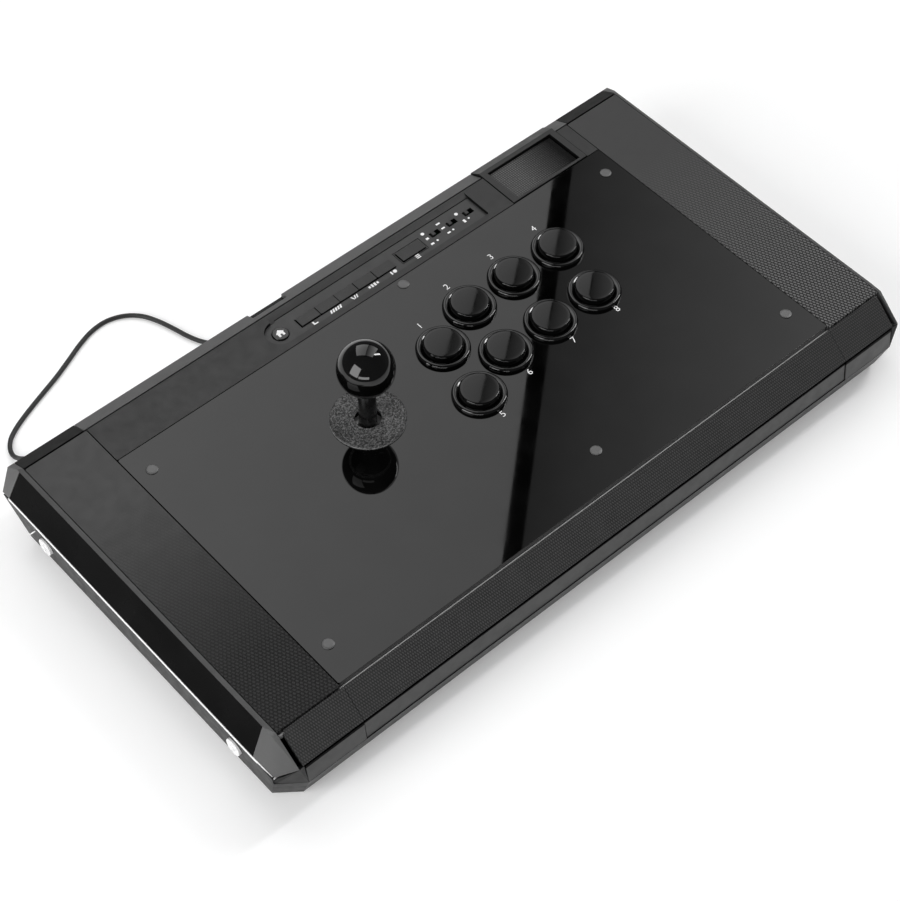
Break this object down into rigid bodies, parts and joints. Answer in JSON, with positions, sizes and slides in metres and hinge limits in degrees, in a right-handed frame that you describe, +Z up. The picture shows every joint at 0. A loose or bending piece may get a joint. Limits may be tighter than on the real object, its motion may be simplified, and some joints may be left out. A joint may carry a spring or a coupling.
{
  "type": "arcade joystick panel",
  "caption": "Low tabletop arcade control case with a ball-top stick, staggered push buttons, a sunken row of function keys, a touchpad and a thin lead.",
  "frame": {"origin": "centre of the case on the ground, under the rubber feet", "axes": "+X to the player's right along the width, +Y away from the player, +Z up"},
  "size_m": [0.4868, 0.3516, 0.118],
  "materials": {
    "shell_plastic": "fine satin texture",
    "bottom_sheet": "matt powder coat",
    "screw_steel": "satin",
    "foot_rubber": "matt",
    "cheek_plastic": "satin with a slight metallic look",
    "side_gloss": "high gloss",
    "light_strip": "translucent white",
    "side_screw": "satin",
    "palm_rest": "fine dimple texture",
    "band_plastic": "satin",
    "deck_plastic": "satin",
    "grip_plastic": "satin with moulded dashes",
    "rear_band": "matt",
    "rail_plastic": "satin with a slight metallic look",
    "control_plate": "satin",
    "acrylic": "high gloss",
    "housing_plastic": "satin",
    "recess_plastic": "satin",
    "button_rim": "gloss",
    "button_top": "gloss",
    "switch_body": "matt",
    "plated_steel": "zinc plated",
    "nylon_dark": "matt",
    "nylon_light": "matt",
    "circuit_board": "solder mask",
    "washer_vinyl": "grained",
    "lead_jacket": "satin",
    "plug_body": "satin",
    "home_button": "gloss",
    "key_plastic": "satin",
    "slider_knob": "satin",
    "touchpad_surface": "fine dot texture",
    "shaft_steel": "polished",
    "sleeve_plastic": "satin",
    "spring_steel": "drawn wire",
    "ball_plastic": "high gloss"
  },
  "bodies": {
    "case": {"base_shell": "shell_plastic", "bottom_plate": "bottom_sheet", "bottom_screws": "screw_steel", "rubber_feet": "foot_rubber", "left_cheek": "cheek_plastic", "right_cheek": "cheek_plastic", "left_side_panel": "side_gloss", "right_side_panel": "side_gloss", "light_strips": "light_strip", "side_screws": "side_screw", "corner_caps": "shell_plastic", "wrist_rest": "palm_rest", "front_band": "band_plastic", "top_deck": "deck_plastic", "grip_strips": "grip_plastic", "rear_band": "rear_band", "rear_rail": "rail_plastic", "control_plate": "control_plate", "acrylic_cover": "acrylic", "panel_screws": "screw_steel", "touchpad_housing": "housing_plastic", "function_panel": "recess_plastic", "button_housings": "button_rim", "microswitches": "switch_body", "stick_mount_plate": "plated_steel", "stick_body": "nylon_dark", "stick_board": "circuit_board", "restrictor_gate": "nylon_dark", "dust_washer": "washer_vinyl", "main_board": "circuit_board", "function_board": "circuit_board", "cable_gland": "lead_jacket", "usb_cord": "lead_jacket", "usb_hank": "lead_jacket", "usb_plug": "plug_body"},
    "play_button_1": {"play_button_1": "button_top"},
    "play_button_2": {"play_button_2": "button_top"},
    "play_button_3": {"play_button_3": "button_top"},
    "play_button_4": {"play_button_4": "button_top"},
    "play_button_5": {"play_button_5": "button_top"},
    "play_button_6": {"play_button_6": "button_top"},
    "play_button_7": {"play_button_7": "button_top"},
    "play_button_8": {"play_button_8": "button_top"},
    "home_button": {"home_button": "home_button"},
    "function_key_1": {"function_key_1": "key_plastic"},
    "function_key_2": {"function_key_2": "key_plastic"},
    "function_key_3": {"function_key_3": "key_plastic"},
    "function_key_4": {"function_key_4": "key_plastic"},
    "function_key_5": {"function_key_5": "key_plastic"},
    "options_button": {"options_button": "key_plastic"},
    "slide_switch_1": {"slide_switch_1": "slider_knob"},
    "slide_switch_2": {"slide_switch_2": "slider_knob"},
    "slide_switch_3": {"slide_switch_3": "slider_knob"},
    "touchpad": {"touchpad": "touchpad_surface"},
    "pivot_ring": {"pivot_ring": "nylon_light"},
    "stick": {"stick_shaft": "shaft_steel", "shaft_sleeve": "sleeve_plastic", "stick_actuator": "nylon_light", "return_spring": "spring_steel", "ball_top": "ball_plastic"}
  },
  "joints": [
    {"name": "play_button_1_press", "type": "slide", "parent": "case", "child": "play_button_1", "axis": [0, 0, -1], "range_m": [0, 0.003], "stiffness_N_per_m": 220, "springref_m": -0.002},
    {"name": "play_button_2_press", "type": "slide", "parent": "case", "child": "play_button_2", "axis": [0, 0, -1], "range_m": [0, 0.003], "stiffness_N_per_m": 220, "springref_m": -0.002},
    {"name": "play_button_3_press", "type": "slide", "parent": "case", "child": "play_button_3", "axis": [0, 0, -1], "range_m": [0, 0.003], "stiffness_N_per_m": 220, "springref_m": -0.002},
    {"name": "play_button_4_press", "type": "slide", "parent": "case", "child": "play_button_4", "axis": [0, 0, -1], "range_m": [0, 0.003], "stiffness_N_per_m": 220, "springref_m": -0.002},
    {"name": "play_button_5_press", "type": "slide", "parent": "case", "child": "play_button_5", "axis": [0, 0, -1], "range_m": [0, 0.003], "stiffness_N_per_m": 220, "springref_m": -0.002},
    {"name": "play_button_6_press", "type": "slide", "parent": "case", "child": "play_button_6", "axis": [0, 0, -1], "range_m": [0, 0.003], "stiffness_N_per_m": 220, "springref_m": -0.002},
    {"name": "play_button_7_press", "type": "slide", "parent": "case", "child": "play_button_7", "axis": [0, 0, -1], "range_m": [0, 0.003], "stiffness_N_per_m": 220, "springref_m": -0.002},
    {"name": "play_button_8_press", "type": "slide", "parent": "case", "child": "play_button_8", "axis": [0, 0, -1], "range_m": [0, 0.003], "stiffness_N_per_m": 220, "springref_m": -0.002},
    {"name": "home_button_press", "type": "slide", "parent": "case", "child": "home_button", "axis": [0, 0, -1], "range_m": [0, 0.0006], "stiffness_N_per_m": 900, "springref_m": -0.0006},
    {"name": "function_key_1_press", "type": "slide", "parent": "case", "child": "function_key_1", "axis": [0, 0, -1], "range_m": [0, 0.0006], "stiffness_N_per_m": 900, "springref_m": -0.0006},
    {"name": "function_key_2_press", "type": "slide", "parent": "case", "child": "function_key_2", "axis": [0, 0, -1], "range_m": [0, 0.0006], "stiffness_N_per_m": 900, "springref_m": -0.0006},
    {"name": "function_key_3_press", "type": "slide", "parent": "case", "child": "function_key_3", "axis": [0, 0, -1], "range_m": [0, 0.0006], "stiffness_N_per_m": 900, "springref_m": -0.0006},
    {"name": "function_key_4_press", "type": "slide", "parent": "case", "child": "function_key_4", "axis": [0, 0, -1], "range_m": [0, 0.0006], "stiffness_N_per_m": 900, "springref_m": -0.0006},
    {"name": "function_key_5_press", "type": "slide", "parent": "case", "child": "function_key_5", "axis": [0, 0, -1], "range_m": [0, 0.0006], "stiffness_N_per_m": 900, "springref_m": -0.0006},
    {"name": "options_button_press", "type": "slide", "parent": "case", "child": "options_button", "axis": [0, 0, -1], "range_m": [0, 0.0006], "stiffness_N_per_m": 900, "springref_m": -0.0006},
    {"name": "slide_switch_1_slide", "type": "slide", "parent": "case", "child": "slide_switch_1", "axis": [1, 0, 0], "range_m": [0, 0.002]},
    {"name": "slide_switch_2_slide", "type": "slide", "parent": "case", "child": "slide_switch_2", "axis": [1, 0, 0], "range_m": [0, 0.002]},
    {"name": "slide_switch_3_slide", "type": "slide", "parent": "case", "child": "slide_switch_3", "axis": [1, 0, 0], "range_m": [0, 0.002]},
    {"name": "touchpad_click", "type": "slide", "parent": "case", "child": "touchpad", "axis": [0, 0, -1], "range_m": [0, 0.0004], "stiffness_N_per_m": 1500, "springref_m": -0.0004},
    {"name": "stick_forward_back", "type": "hinge", "parent": "case", "child": "pivot_ring", "pos_m": [-0.0621, 0.01765, 0.046], "axis": [1, 0, 0], "range_deg": [-8, 8], "stiffness_Nm_per_rad": 0.35},
    {"name": "stick_left_right", "type": "hinge", "parent": "pivot_ring", "child": "stick", "pos_m": [-0.0621, 0.01765, 0.046], "axis": [0, 1, 0], "range_deg": [-8, 8], "stiffness_Nm_per_rad": 0.35}
  ]
}
